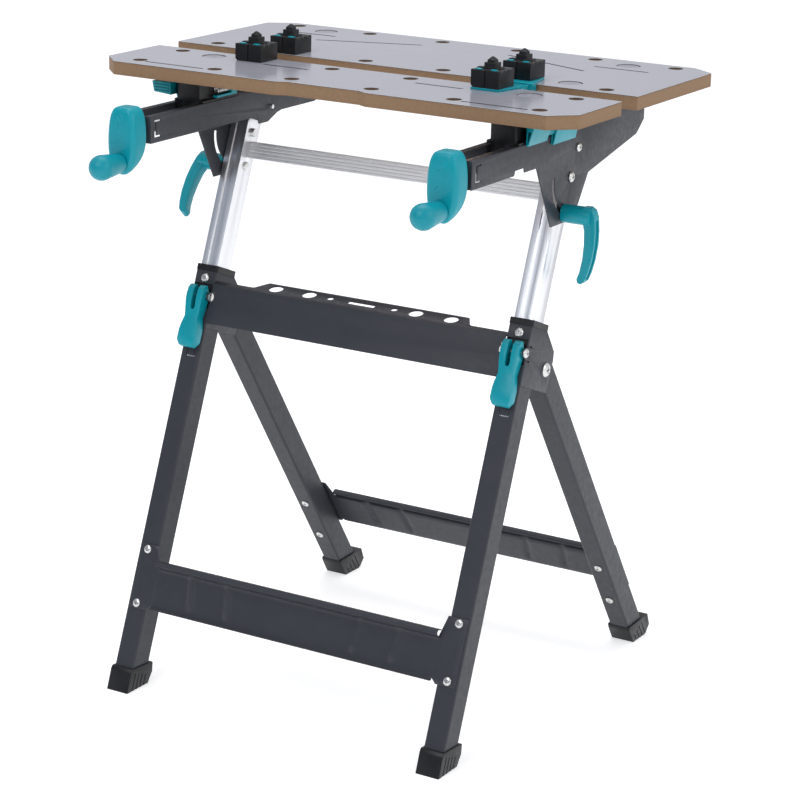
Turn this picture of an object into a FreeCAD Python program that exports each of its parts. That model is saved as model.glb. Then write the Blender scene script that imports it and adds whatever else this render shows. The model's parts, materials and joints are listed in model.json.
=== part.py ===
import FreeCAD, Part
import Sketcher
import math
import os

# Folding workbench with two clamping jaws, millimetres, +Z up.
# X runs along the jaws, -Y is the side where the cranks are, and the origin is the bottom centre.
# Lengths along Y are first given from the front edge of the front feet, then moved by datum_shift.

doc = FreeCAD.newDocument("FoldingWorkbench")
sheet = doc.addObject("Spreadsheet::Sheet", "Dimensions")

DRIVING = {
    "datum_shift": 278.75,
    "table_height": 837,
    # jaws
    "jaw_length": 700,
    "jaw_thickness": 18,
    "front_jaw_start": 104.2,
    "front_jaw_depth": 143.6,
    "rear_jaw_start": 292.4,
    "rear_jaw_depth": 244.4,
    "front_corner": 30,
    "rear_corner_side": 34,
    "rear_corner_depth": 23,
    "recess_half": 54,
    "recess_bevel": 13,
    "recess_depth": 7,
    "dog_hole_radius": 10,
    "dog_pitch": 118.8,
    "dog_row_front": 131.9,
    "dog_row_second": 228.5,
    "dog_row_third": 312,
    "dog_row_back": 517,
    "cap_radius": 15.5,
    "cap_sink": 2,
    "cap_side": 238,
    "cap_row_front": 216.8,
    "cap_row_middle": 327.4,
    "cap_row_back": 496,
    # front legs and everything in line with them
    "leg_side": 242.3,
    "leg_width": 30,
    "leg_depth": 36,
    "wall": 1.5,
    "front_lean": 20.76,
    "front_leg_foot_y": 23.05,
    "leg_top": 574.5,
    "leg_bottom": 12,
    "rear_leg_bottom": 17,
    "collar_top": 583,
    "tube_width": 26.6,
    "tube_depth": 32,
    "tube_wall": 2,
    "tube_top": 791,
    "tube_bottom": 340,
    # rear legs
    "rear_lean": 34.6,
    "rear_leg_foot_y": 582.9,
    "rear_leg_width": 29.4,
    "rear_leg_top": 600,
    "fold_y": 248.8,
    "fold_z": 477.8,
    "fold_bolt_radius": 4,
    # feet
    "foot_width": 34,
    "foot_height": 30,
    "front_foot_depth": 47,
    "rear_foot_start": 558,
    "rear_foot_end": 609,
    # hinge brackets, in the frame of the front leg
    "bracket_bottom": 498,
    "bracket_back": 56.5,
    "bracket_top_back": 26,
    "bracket_shoulder": 553,
    "bracket_front": 19.5,
    "ear_front": 29.5,
    "pin_forward": 23.5,
    "pin_height": 539.4,
    "pin_radius": 3,
    # arms
    "arm_side": 235.65,
    "arm_half": 23.65,
    "arm_front": 36.6,
    "plate_front": 38.4,
    "lip_width": 9,
    "arm_top": 784,
    "arm_bottom": 749,
    "arm_back": 506.7,
    "pivot_y": 297,
    "pivot_z": 722.7,
    "slot_radius": 47,
    "slot_half": 3.4,
    "spindle_z": 774,
    "spindle_radius": 5,
    "neck_radius": 4,
    "running_gap": 0.06,
    # clamping carriers
    "carrier_front": 155,
    "carrier_length": 85,
    "release_y": 228,
    "release_z": 797,
    "release_pin": 3,
    "carrier_width": 34.4,
    "tongue_width": 40,
    # cranks
    "crank_depth": 30,
    "crank_knob_drop": 47,
    "knob_radius": 16.5,
    "knob_root": 12.6,
    "knob_length": 53.9,
    # crossbars
    "tray_height": 54,
    "tray_shelf_z": 529,
    "tray_front": 200.5,
    "tray_half": 225.8,
    "tray_depth": 31.2,
    "tray_rise": 5.5,
    "crossbar_low": 111,
    "crossbar_high": 176,
    "crossbar_end_low": 107,
    "crossbar_end_high": 195,
    "crossbar_end_half": 254.5,
    "crossbar_web_half": 219,
    "rear_crossbar_drop": 9,
    "bar_height": 23,
    "bar_depth": 12,
    "bar_centre": 749.5,
    # dogs
    "dog_block": 40,
    "dog_height": 22.5,
    "dog_turret": 15.2,
    "dog_peg_radius": 9.94,
    "dog_peg_length": 30,
    "plate_thickness": 3,
    "plate_lip": 8,
}


class Dim:
    """A length that carries both its number and the spreadsheet formula it comes from."""

    def __init__(self, value, formula):
        self.value = value
        self.formula = formula

    @staticmethod
    def of(item):
        if isinstance(item, Dim):
            return item
        return Dim(float(item), "(%r)" % float(item))

    def __add__(self, other):
        other = Dim.of(other)
        return Dim(self.value + other.value, "(%s + %s)" % (self.formula, other.formula))

    def __sub__(self, other):
        other = Dim.of(other)
        return Dim(self.value - other.value, "(%s - %s)" % (self.formula, other.formula))

    def __mul__(self, other):
        other = Dim.of(other)
        return Dim(self.value * other.value, "(%s * %s)" % (self.formula, other.formula))

    def __truediv__(self, other):
        other = Dim.of(other)
        return Dim(self.value / other.value, "(%s / %s)" % (self.formula, other.formula))

    def __neg__(self):
        return self * -1

    def __radd__(self, other):
        return Dim.of(other) + self

    def __rsub__(self, other):
        return Dim.of(other) - self

    def __rmul__(self, other):
        return Dim.of(other) * self


def sine(angle):
    return Dim(math.sin(math.radians(angle.value)), "sin(%s)" % angle.formula)


def cosine(angle):
    return Dim(math.cos(math.radians(angle.value)), "cos(%s)" % angle.formula)


class Sizes:
    """The driving dimensions by name, each one a Dim bound to its cell."""

    def __init__(self, table):
        for row, (name, value) in enumerate(table.items(), start=1):
            sheet.set("A%d" % row, name)
            sheet.set("B%d" % row, str(value))
            sheet.setAlias("B%d" % row, name)
            setattr(self, name, Dim(float(value), "Dimensions." + name))


D = Sizes(DRIVING)
doc.recompute()

NODES = []
SIDES = (("left", -1), ("right", 1))
X_AXIS = FreeCAD.Vector(1, 0, 0)
Y_AXIS = FreeCAD.Vector(0, 1, 0)


def bind(item, name, dim):
    item.setExpression(name, Dim.of(dim).formula)


def place(item, x, y, z, axis=None, angle=None):
    """Put an object at x, y, z, y being counted from the datum edge, turned by angle about axis."""
    turn = FreeCAD.Rotation()
    if axis is not None:
        turn = FreeCAD.Rotation(axis, Dim.of(angle).value)
    y = Dim.of(y) - D.datum_shift
    spot = FreeCAD.Vector(Dim.of(x).value, y.value, Dim.of(z).value)
    item.Placement = FreeCAD.Placement(spot, turn)
    bind(item, "Placement.Base.x", x)
    bind(item, "Placement.Base.y", y)
    bind(item, "Placement.Base.z", z)
    if axis is not None:
        bind(item, "Placement.Rotation.Angle", angle)


def new_body(name):
    body = doc.addObject("PartDesign::Body", name)
    body.Label = name
    return body


def node(item, name=None):
    item.Label = name or item.Label
    NODES.append(item)
    return item


def new_sketch(body, role, offset=0):
    """A sketch on one of the body's own origin planes, moved by offset along the plane's normal."""
    sketch = body.newObject("Sketcher::SketchObject", body.Name + "_sketch")
    for plane in body.Origin.OriginFeatures:
        if plane.Role == role:
            sketch.AttachmentSupport = [(plane, "")]
    sketch.MapMode = "FlatFace"
    offset = Dim.of(offset)
    sketch.AttachmentOffset = FreeCAD.Placement(FreeCAD.Vector(0, 0, offset.value), FreeCAD.Rotation())
    bind(sketch, "AttachmentOffset.Base.z", offset)
    return sketch


def fix_point(sketch, index, which, x, y):
    for kind, dim in (("DistanceX", Dim.of(x)), ("DistanceY", Dim.of(y))):
        spot = sketch.addConstraint(Sketcher.Constraint(kind, -1, 1, index, which, dim.value))
        bind(sketch, "Constraints[%d]" % spot, dim)


def add_outline(sketch, points):
    """A closed outline of straight edges with every corner fixed by two dimensions."""
    points = [(Dim.of(x), Dim.of(y)) for x, y in points]
    first = sketch.GeometryCount
    count = len(points)
    corners = [FreeCAD.Vector(x.value, y.value, 0) for x, y in points]
    for i in range(count):
        sketch.addGeometry(Part.LineSegment(corners[i], corners[(i + 1) % count]))
    for i in range(count):
        here, there = first + i, first + (i + 1) % count
        sketch.addConstraint(Sketcher.Constraint("Coincident", here, 2, there, 1))
    for i, (x, y) in enumerate(points):
        fix_point(sketch, first + i, 1, x, y)


def add_circle(sketch, x, y, radius):
    x, y, radius = Dim.of(x), Dim.of(y), Dim.of(radius)
    centre = FreeCAD.Vector(x.value, y.value, 0)
    index = sketch.addGeometry(Part.Circle(centre, FreeCAD.Vector(0, 0, 1), radius.value))
    spot = sketch.addConstraint(Sketcher.Constraint("Radius", index, radius.value))
    bind(sketch, "Constraints[%d]" % spot, radius)
    fix_point(sketch, index, 3, x, y)


def box_outline(x0, x1, y0, y1):
    return [(x0, y0), (x1, y0), (x1, y1), (x0, y1)]


def add_pad(body, sketch, length, symmetric=False, backwards=False):
    """Extrude a sketch; symmetric pads take half their length on each side."""
    pad = body.newObject("PartDesign::Pad", body.Name + "_pad")
    pad.Profile = sketch
    pad.SideType = "Symmetric" if symmetric else "One side"
    pad.Reversed = backwards
    bind(pad, "Length", length)
    doc.recompute()
    return pad


def add_pocket(body, sketch, depth, symmetric=True, backwards=False):
    """Cut a sketch out of the body, and make sure that something was removed."""
    before = body.Shape.Volume
    pocket = body.newObject("PartDesign::Pocket", body.Name + "_pocket")
    pocket.Profile = sketch
    pocket.SideType = "Symmetric" if symmetric else "One side"
    pocket.Reversed = backwards
    bind(pocket, "Length", depth)
    doc.recompute()
    if not body.Shape.Volume < before - 1e-6:
        raise RuntimeError("pocket in %s removes nothing" % body.Name)
    return pocket


def pad_outline(body, role, points, length, symmetric=False, backwards=False, offset=0):
    sketch = new_sketch(body, role, offset)
    add_outline(sketch, points)
    return add_pad(body, sketch, length, symmetric, backwards)


def cut_outlines(body, role, outlines, depth, symmetric=True, backwards=False, offset=0):
    sketch = new_sketch(body, role, offset)
    for points in outlines:
        add_outline(sketch, points)
    return add_pocket(body, sketch, depth, symmetric, backwards)


def cut_circles(body, role, circles, depth, symmetric=True, backwards=False, offset=0):
    sketch = new_sketch(body, role, offset)
    for x, y, radius in circles:
        add_circle(sketch, x, y, radius)
    return add_pocket(body, sketch, depth, symmetric, backwards)


def round_edges(body, radius, wanted):
    """Fillet every edge of the body's last feature for which wanted(edge) is true."""
    tip = body.Tip
    names = ["Edge%d" % (i + 1) for i, edge in enumerate(tip.Shape.Edges) if wanted(edge)]
    fillet = body.newObject("PartDesign::Fillet", body.Name + "_fillet")
    fillet.Base = (tip, names)
    bind(fillet, "Radius", radius)
    doc.recompute()
    return fillet


def runs_along(edge, axis):
    """True for a straight edge parallel to the X, Y or Z axis of its body."""
    if edge.Curve.TypeId != "Part::GeomLine":
        return False
    start, end = edge.Vertexes[0].Point, edge.Vertexes[-1].Point
    step = end.sub(start)
    step.normalize()
    return abs(abs(step[axis]) - 1) < 1e-4


def revolve(name, points):
    """A body of revolution about its own Z axis, from half a profile given as radius, height."""
    body = new_body(name)
    sketch = new_sketch(body, "XZ_Plane")
    add_outline(sketch, points)
    turned = body.newObject("PartDesign::Revolution", name + "_turn")
    turned.Profile = sketch
    turned.ReferenceAxis = (sketch, ["V_Axis"])
    turned.Angle = 360
    doc.recompute()
    return body


def bolt(name, radius, length, head_radius, head_height, slot=True, nut=0):
    """A pan-head bolt with a cross recess, its head on the plane z = 0; nut is its thickness, if any."""
    profile = [(0, -length), (radius, -length), (radius, 0)]
    if nut:
        thick = head_radius * 0.85
        end = nut - length
        profile = [(0, -length), (thick, -length), (thick, end), (radius, end), (radius, 0)]
    profile += [
        (head_radius, 0),
        (head_radius, head_height * 0.4),
        (head_radius * 0.82, head_height * 0.78),
        (head_radius * 0.5, head_height),
        (0, head_height),
    ]
    body = revolve(name, profile)
    if slot:
        arm, half = head_radius * 0.5, head_radius * 0.11
        cross = [(-arm, -half), (-half, -half), (-half, -arm), (half, -arm), (half, -half), (arm, -half)]
        cross += [(arm, half), (half, half), (half, arm), (-half, arm), (-half, half), (-arm, half)]
        cut_outlines(body, "XY_Plane", [cross], head_height * 0.6, False, False, head_height)
    return body


def group(name, source, spots):
    """Separate copies of one fastener, each at (x, y, z, axis, angle), as one node."""
    links = []
    for number, spot in enumerate(spots):
        link = doc.addObject("App::Link", "%s_%d" % (name, number + 1))
        link.LinkedObject = source
        place(link, *spot)
        links.append(link)
    compound = doc.addObject("Part::Compound", name)
    compound.Links = links
    doc.recompute()
    return node(compound)


# ---------------------------------------------------------------- frames of the two pairs of legs

FRONT_SIN, FRONT_COS = sine(D.front_lean), cosine(D.front_lean)
REAR_SIN, REAR_COS = sine(D.rear_lean), cosine(D.rear_lean)


def front_frame(y, z):
    """A point of the upright frame as (across, along) in the leaning frame of the front legs."""
    forward = Dim.of(y) - D.front_leg_foot_y
    return (forward * FRONT_COS - z * FRONT_SIN, forward * FRONT_SIN + z * FRONT_COS)


def from_front(across, along):
    """The inverse of front_frame: the upright y and z of a point on the front legs."""
    y = D.front_leg_foot_y + across * FRONT_COS + along * FRONT_SIN
    return (y, along * FRONT_COS - across * FRONT_SIN)


def rear_frame(y, z):
    back = Dim.of(y) - D.rear_leg_foot_y
    return (back * REAR_COS + z * REAR_SIN, z * REAR_COS - back * REAR_SIN)


def from_rear(across, along):
    y = D.rear_leg_foot_y + across * REAR_COS - along * REAR_SIN
    return (y, along * REAR_COS + across * REAR_SIN)


def lean_front(body, x):
    place(body, x, D.front_leg_foot_y, 0, X_AXIS, -D.front_lean)


def lean_rear(body, x):
    place(body, x, D.rear_leg_foot_y, 0, X_AXIS, D.rear_lean)


# ---------------------------------------------------------------- legs and feet


def hollow_leg(name, width, bottom, top):
    """A rectangular steel tube standing along its own Z axis."""
    body = new_body(name)
    outer_x, outer_y = width / 2, D.leg_depth / 2
    inner_x, inner_y = outer_x - D.wall, outer_y - D.wall
    outline = box_outline(-outer_x, outer_x, -outer_y, outer_y)
    pad_outline(body, "XY_Plane", outline, top - bottom, offset=bottom)
    round_edges(body, 3, lambda edge: runs_along(edge, 2))
    hollow = [box_outline(-inner_x, inner_x, -inner_y, inner_y)]
    cut_outlines(body, "XY_Plane", hollow, (top + 1) * 2)
    return body


WINDOW_LOW = D.pin_height - 15.5
WINDOW_HIGH = D.pin_height + 17.5
WINDOW_HALF = 13.3
SCREW_HIGH = D.crossbar_end_high - 7
SCREW_LOW = D.crossbar_end_low + 7
REAR_SCREW_HIGH = SCREW_HIGH - D.rear_crossbar_drop
REAR_SCREW_LOW = SCREW_LOW - D.rear_crossbar_drop
SCREW_RADIUS = 3
FRONT_SCREW_LEVEL = D.leg_top - 10


def front_leg(name, side):
    body = hollow_leg(name, D.leg_width, D.leg_bottom, D.leg_top)
    half = D.leg_depth / 2
    window = box_outline(-WINDOW_HALF, WINDOW_HALF, WINDOW_LOW, WINDOW_HIGH)
    cut_outlines(body, "XZ_Plane", [window], D.wall + 1, False, False, half + 0.5)
    circles = [(0, level, SCREW_RADIUS) for level in (SCREW_HIGH, SCREW_LOW, FRONT_SCREW_LEVEL)]
    cut_circles(body, "XZ_Plane", circles, D.wall + 1, False, False, half + 0.5)
    # a tongue punched in the front face stops the tube that slides inside
    low, high = 456, 466
    tongue = [(-6, low), (8, low), (8, high), (6.6, high), (6.6, low + 1.6), (-4.6, low + 1.6)]
    tongue += [(-4.6, high), (-6, high)]
    cut_outlines(body, "XZ_Plane", [tongue], D.wall + 1, False, False, half + 0.5)
    lean_front(body, D.leg_side * side)
    return node(body)


def rear_leg(name, side):
    body = hollow_leg(name, D.rear_leg_width, D.rear_leg_bottom, D.rear_leg_top)
    across, along = rear_frame(D.fold_y, D.fold_z)
    hole = [(across, along, D.fold_bolt_radius + D.running_gap)]
    cut_circles(body, "YZ_Plane", hole, D.leg_width + 10)
    circles = [(0, level, SCREW_RADIUS) for level in (REAR_SCREW_HIGH, REAR_SCREW_LOW)]
    cut_circles(body, "XZ_Plane", circles, D.leg_depth + 10)
    lean_rear(body, D.leg_side * side)
    return node(body)


def foot(name, side, outline, frame, width, seat, lean):
    """A plastic shoe under a leg: ribbed sides, flat sole, and a socket for the leg's end."""
    body = new_body(name)
    pad_outline(body, "YZ_Plane", [frame(y, z) for y, z in outline], D.foot_width, True)
    round_edges(body, 2, lambda edge: runs_along(edge, 0) and edge.CenterOfMass.z > 20)
    half_x, half_y = width / 2, D.leg_depth / 2
    socket = [box_outline(-half_x, half_x, -half_y, half_y)]
    cut_outlines(body, "XY_Plane", socket, 80, False, True, seat)
    groove_half, groove_depth = 0.9, 0.9
    grooves = []
    for step in (-12, -4, 4, 12):
        grooves.append(box_outline(step - groove_half, step + groove_half, -20, 21))
    outer = D.foot_width / 2
    for direction in (-1, 1):
        offset = (outer - groove_depth) * direction
        cut_outlines(body, "YZ_Plane", grooves, 4, False, direction > 0, offset)
    lean(body, D.leg_side * side)
    return node(body)


FRONT_FOOT = [
    (0, 0),
    (D.front_foot_depth, 0),
    (D.front_foot_depth + 10.5, 14),
    (D.front_foot_depth + 12, D.foot_height - 2),
    (12.5, D.foot_height + 1),
    (9.5, D.foot_height - 3),
]
REAR_FOOT = [
    (D.rear_foot_start, 0),
    (D.rear_foot_end - 12, 0),
    (D.rear_foot_end, 12),
    (D.rear_foot_end - 8, D.foot_height),
    (D.rear_foot_start - 16, D.foot_height - 3),
    (D.rear_foot_start - 14, D.foot_height - 9),
]

for word, side in SIDES:
    front_leg("front_leg_" + word, side)
    rear_leg("rear_leg_" + word, side)
    foot("front_foot_" + word, side, FRONT_FOOT, front_frame, D.leg_width, D.leg_bottom, lean_front)
    shoe = (REAR_FOOT, rear_frame, D.rear_leg_width, D.rear_leg_bottom, lean_rear)
    foot("rear_foot_" + word, side, *shoe)


# ---------------------------------------------------------------- hinge brackets, collars, pins

PIVOT_ACROSS, PIVOT_ALONG = front_frame(D.fold_y, D.fold_z)


def hinge_bracket(name, side):
    """Folded sheet wrapped round the front leg; its cheeks carry the rear leg and the cam lever."""
    body = new_body(name)
    front, ear = -D.bracket_front, -D.ear_front
    ear_low, ear_high = D.pin_height - 7.5, D.pin_height + 7.5
    outline = [
        (front, D.bracket_bottom),
        (D.bracket_back, D.bracket_bottom),
        (D.bracket_back + 2.5, D.bracket_shoulder - 12),
        (D.bracket_back - 0.5, D.bracket_shoulder),
        (D.bracket_top_back, D.leg_top),
        (front, D.leg_top),
        (front, ear_high),
        (ear, ear_high - 3),
        (ear, ear_low + 3),
        (front, ear_low),
    ]
    half = D.leg_width / 2
    pad_outline(body, "YZ_Plane", outline, D.leg_width + D.wall * 2, True)
    bends = lambda edge: runs_along(edge, 2) and edge.CenterOfMass.y < -19 and edge.CenterOfMass.y > -20
    round_edges(body, 1.4, bends)
    inside = [box_outline(-half, half, -D.leg_depth / 2, D.bracket_back + 20)]
    cut_outlines(body, "XY_Plane", inside, D.leg_top * 2 + 10)
    window = [box_outline(-half, half, WINDOW_LOW, WINDOW_HIGH)]
    cut_outlines(body, "XZ_Plane", window, D.ear_front, False, False, D.ear_front + 1)
    reliefs = []
    for level in (ear_low - 3, ear_high + 0.6):
        reliefs.append(box_outline(front - 1, -8, level, level + 2.4))
    cut_outlines(body, "YZ_Plane", reliefs, D.leg_width + 20)
    circles = [(-D.pin_forward, D.pin_height, D.pin_radius)]
    circles.append((PIVOT_ACROSS, PIVOT_ALONG, D.fold_bolt_radius))
    cut_circles(body, "YZ_Plane", circles, D.leg_width + 20)
    screw = [(0, FRONT_SCREW_LEVEL, SCREW_RADIUS)]
    cut_circles(body, "XZ_Plane", screw, D.wall + 1, False, False, D.bracket_front + 0.5)
    lean_front(body, D.leg_side * side)
    return node(body)


def collar(name, side):
    """Plastic cap on the front leg's end, with a strip down to the pad that the cam lever presses."""
    body = new_body(name)
    outline = box_outline(-17.2, 17.2, -D.bracket_front - 1, D.bracket_top_back + 0.5)
    pad_outline(body, "XY_Plane", outline, D.collar_top - D.leg_top, offset=D.leg_top)
    round_edges(body, 2.5, lambda edge: runs_along(edge, 2))
    top = D.collar_top.value
    round_edges(body, 1, lambda edge: abs(edge.BoundBox.ZMin - top) < 0.01)
    half_x, half_y = D.tube_width / 2 + 0.3, D.tube_depth / 2 + 0.3
    cut_outlines(body, "XY_Plane", [box_outline(-half_x, half_x, -half_y, half_y)], D.collar_top * 2 + 9)
    behind, strip, pad = -D.tube_depth / 2 - 0.12, -D.tube_depth / 2 - 0.42, -D.tube_depth / 2 - 0.95
    reach = [(strip, D.leg_top + 1), (strip, WINDOW_HIGH - 0.3), (pad, WINDOW_HIGH - 0.3)]
    reach += [(pad, WINDOW_LOW + 0.3), (behind, WINDOW_LOW + 0.3), (behind, D.leg_top + 1)]
    pad_outline(body, "YZ_Plane", reach, WINDOW_HALF * 2 - 0.6, True)
    lean_front(body, D.leg_side * side)
    return node(body)


for word, side in SIDES:
    hinge_bracket("hinge_bracket_" + word, side)
    collar("collar_" + word, side)

FULL_WIDTH = D.leg_width + D.wall * 2
fold_bolt = bolt("fold_bolt", D.fold_bolt_radius, FULL_WIDTH + 4, 9.5, 4.2, nut=4)
cam_pin = bolt("cam_pin", D.pin_radius, FULL_WIDTH + 2.4, 6.2, 3.4, nut=2.4)
bracket_screw = bolt("bracket_screw", SCREW_RADIUS, 3, 6, 3)
frame_screw = bolt("frame_screw", SCREW_RADIUS, 8, 5.6, 2.6)
through_bolt = bolt("through_bolt", SCREW_RADIUS, D.leg_depth + D.wall + 4, 5.6, 2.6)


def across_spots(y, z, outside):
    """The same spot on both sides, the head turned outwards along X."""
    return [(outside * side, y, z, Y_AXIS, Dim.of(90 * side)) for word, side in SIDES]


CHEEK_OUT = D.leg_side + FULL_WIDTH / 2
group("fold_bolts", fold_bolt, across_spots(D.fold_y, D.fold_z, CHEEK_OUT))
pin_y, pin_z = from_front(-D.pin_forward, D.pin_height)
group("cam_pins", cam_pin, across_spots(pin_y, pin_z, CHEEK_OUT))


def on_front(x, across, along):
    """A fastener on the front of the front legs, its head facing forwards."""
    y, z = from_front(across, along)
    return (x, y, z, X_AXIS, 90 - D.front_lean)


bracket_spots = [on_front(D.leg_side * side, -D.bracket_front, FRONT_SCREW_LEVEL) for w, side in SIDES]
group("bracket_screws", bracket_screw, bracket_spots)

crossbar_spots = []
for word, side in SIDES:
    for level in (SCREW_HIGH, SCREW_LOW):
        crossbar_spots.append(on_front(D.leg_side * side, -D.leg_depth / 2 - D.wall, level))
group("front_crossbar_screws", frame_screw, crossbar_spots)

rear_spots = []
for word, side in SIDES:
    for level in (REAR_SCREW_HIGH, REAR_SCREW_LOW):
        y, z = from_rear(-D.leg_depth / 2, level)
        rear_spots.append((D.leg_side * side, y, z, X_AXIS, 90 + D.rear_lean))
group("rear_crossbar_bolts", through_bolt, rear_spots)


# ---------------------------------------------------------------- crossbars


def crossbar(name, outward, drop):
    """Pressed crossbar: flat lugs on the legs, a ribbed web, and a rolled upper edge facing outwards."""
    body = new_body(name)
    face, skin = D.leg_depth / 2, D.wall
    near, far = face * outward, (face + skin) * outward
    lip = (face + 11) * outward
    lip_in = (face + 11 - skin) * outward
    low, high = D.crossbar_low - drop, D.crossbar_high - drop
    section = [
        (near, low),
        (far + 5 * outward, low),
        (far + 5 * outward, low + skin),
        (far, low + skin),
        (far, high - skin),
        (lip_in, high - skin),
        (lip_in, high - 9),
        (lip, high - 9),
        (lip, high),
        (near, high),
    ]
    pad_outline(body, "YZ_Plane", section, D.crossbar_web_half * 2, True)
    edge_y, edge_z = lip.value, high.value
    corner = lambda edge: runs_along(edge, 0) and abs(edge.CenterOfMass.y - edge_y) < 0.1
    top_corner = lambda edge: corner(edge) and abs(edge.CenterOfMass.z - edge_z) < 0.1
    round_edges(body, 4, top_corner)
    lug_low, lug_high = D.crossbar_end_low - drop, D.crossbar_end_high - drop
    for word, side in SIDES:
        inner, outer = (D.crossbar_web_half - 3) * side, D.crossbar_end_half * side
        lug = [(inner, low + 6), (outer - 30 * side, lug_low), (outer, lug_low), (outer, lug_high)]
        lug += [(outer - 30 * side, lug_high), (inner, high - 8)]
        backwards = outward > 0
        pad_outline(body, "XZ_Plane", lug, skin, False, backwards, -near)
        centre = D.leg_side * side
        levels = (lug_high - 7, lug_low + 7)
        circles = [(centre, level, SCREW_RADIUS) for level in levels]
        cut_circles(body, "XZ_Plane", circles, D.leg_depth + 50)
        for spot in (160, 101):
            top_x, low_x = (spot + 4.5) * side, (spot - 4.5) * side
            rib = [(low_x - 4, low + 13), (low_x + 4, low + 13)]
            rib += [(top_x + 4, high - 10), (top_x - 4, high - 10)]
            pad_outline(body, "XZ_Plane", rib, 1.2, False, backwards, -far)
    return body


front_crossbar = crossbar("lower_crossbar_front", -1, 0)
lean_front(front_crossbar, 0)
node(front_crossbar)
rear_crossbar = crossbar("lower_crossbar_rear", 1, D.rear_crossbar_drop)
lean_rear(rear_crossbar, 0)
node(rear_crossbar)


def tool_tray():
    """Upper crossbar between the brackets: a leaning front panel and a shelf with tool holes."""
    body = new_body("tool_tray")
    skin, tall = D.wall, D.tray_height
    run_y, run_z = -tall * FRONT_SIN, -tall * FRONT_COS
    hem = 7
    section = [
        (0, 0),
        (run_y, run_z),
        (run_y + hem, run_z),
        (run_y + hem, run_z + skin),
        (run_y + skin * 1.6, run_z + skin),
        (skin * 1.07 - skin * 0.4, -skin),
        (D.tray_depth, D.tray_rise - skin),
        (D.tray_depth, D.tray_rise),
    ]
    pad_outline(body, "YZ_Plane", section, D.tray_half * 2, True)
    narrow, wide = 10.6, 32
    cuts = []
    for word, side in SIDES:
        cut = [(229 * side, narrow), (169 * side, narrow), (166 * side, narrow + 2)]
        cut += [(157 * side, 28), (155 * side, 30.6), (152 * side, wide), (229 * side, wide)]
        cuts.append(cut)
    cut_outlines(body, "XY_Plane", cuts, 16)
    circles = []
    for side in (-1, 1):
        circles += [(135.5 * side, 17.6, 9.8), (82.5 * side, 17.6, 9.8), (49.3 * side, 17.6, 4.6)]
    cut_circles(body, "XY_Plane", circles, 16)
    cut_outlines(body, "XY_Plane", [box_outline(-20.5, 20.5, 12, 20.5)], 16)
    # room for the inner ends of the cam pins, and end tabs against the brackets
    pin_up = pin_z - D.tray_shelf_z
    notches = []
    for word, side in SIDES:
        notches.append(box_outline(side * 221, side * 229, pin_up - 7.5, pin_up + 7.5))
    cut_outlines(body, "XZ_Plane", notches, 60)
    for word, side in SIDES:
        tab = [(run_y + 2, run_z), (run_y + 22, run_z)]
        tab += [(run_y + 27, pin_up - 9), (pin_up * 0.38 - 2, pin_up - 9)]
        inner = (D.tray_half - skin) * side
        pad_outline(body, "YZ_Plane", tab, skin, False, side < 0, inner)
    place(body, 0, D.tray_front, D.tray_shelf_z)
    return node(body)


tool_tray()


# ---------------------------------------------------------------- sliding upper frame


def inner_tube(name, side):
    """Extruded aluminium tube with a groove down its front face, sliding in the front leg."""
    body = new_body(name)
    half_x, half_y = D.tube_width / 2, D.tube_depth / 2
    groove = 1.4
    outline = [
        (-half_x, -half_y),
        (-5, -half_y),
        (-4, -half_y + groove),
        (4, -half_y + groove),
        (5, -half_y),
        (half_x, -half_y),
        (half_x, half_y),
        (-half_x, half_y),
    ]
    pad_outline(body, "XY_Plane", outline, D.tube_top - D.tube_bottom, offset=D.tube_bottom)
    skin = D.tube_wall + 0.6
    hollow = [box_outline(skin - half_x, half_x - skin, skin + groove - half_y, half_y - skin)]
    cut_outlines(body, "XY_Plane", hollow, D.tube_top * 2 + 10)
    circles = [(0, level, SCREW_RADIUS) for level in (TILT_ALONG, CLAMP_ALONG)]
    cut_circles(body, "YZ_Plane", circles, D.tube_width + 10)
    lean_front(body, D.leg_side * side)
    return node(body)


TILT_ACROSS, TILT_ALONG = front_frame(D.pivot_y, D.pivot_z)
CLAMP_ALONG = TILT_ALONG - D.slot_radius
clamp_y, clamp_z = from_front(0, CLAMP_ALONG)
for word, side in SIDES:
    inner_tube("inner_tube_" + word, side)


def alloy_crossbar():
    """Ridged aluminium extrusion joining the two sliding tubes."""
    body = new_body("alloy_crossbar")
    low, high = D.bar_centre - D.bar_height / 2, D.bar_centre + D.bar_height / 2
    front, back = 2, 2 + D.bar_depth
    outline = [(back, low), (front, low)]
    teeth = 5
    pitch = D.bar_height / teeth
    for number in range(teeth):
        base = low + pitch * number
        outline += [(front, base + pitch * 0.55), (front + 0.9, base + pitch * 0.65)]
        outline += [(front + 0.9, base + pitch * 0.9), (front, base + pitch)]
    outline.pop()
    outline += [(front + 0.9, high), (back, high)]
    span = D.leg_side * 2 - D.tube_width
    pad_outline(body, "YZ_Plane", outline, span, True)
    hollow = [box_outline(front + 3.4, back - 2, low + 2, high - 2)]
    cut_outlines(body, "YZ_Plane", hollow, span + 4)
    lean_front(body, 0)
    return node(body)


alloy_crossbar()

TUBE_OUT = D.leg_side + D.tube_width / 2
ARM_OUT = D.arm_side + D.arm_half
inner_end = D.leg_side - D.tube_width / 2
tilt_length = ARM_OUT + 0.3 - inner_end + 5
tilt_bolt = bolt("tilt_bolt", SCREW_RADIUS, tilt_length, 6.8, 3.6, nut=5)
group("tilt_bolts", tilt_bolt, across_spots(D.pivot_y, D.pivot_z, ARM_OUT + 0.3))
clamp_bolt = bolt("clamp_bolt", SCREW_RADIUS, ARM_OUT + 27 - inner_end, 6, 3, False)
clamp_spots = []
for word, side in SIDES:
    clamp_spots.append((inner_end * side, clamp_y, clamp_z, Y_AXIS, Dim.of(-90 * side)))
group("clamp_bolts", clamp_bolt, clamp_spots)

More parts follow.
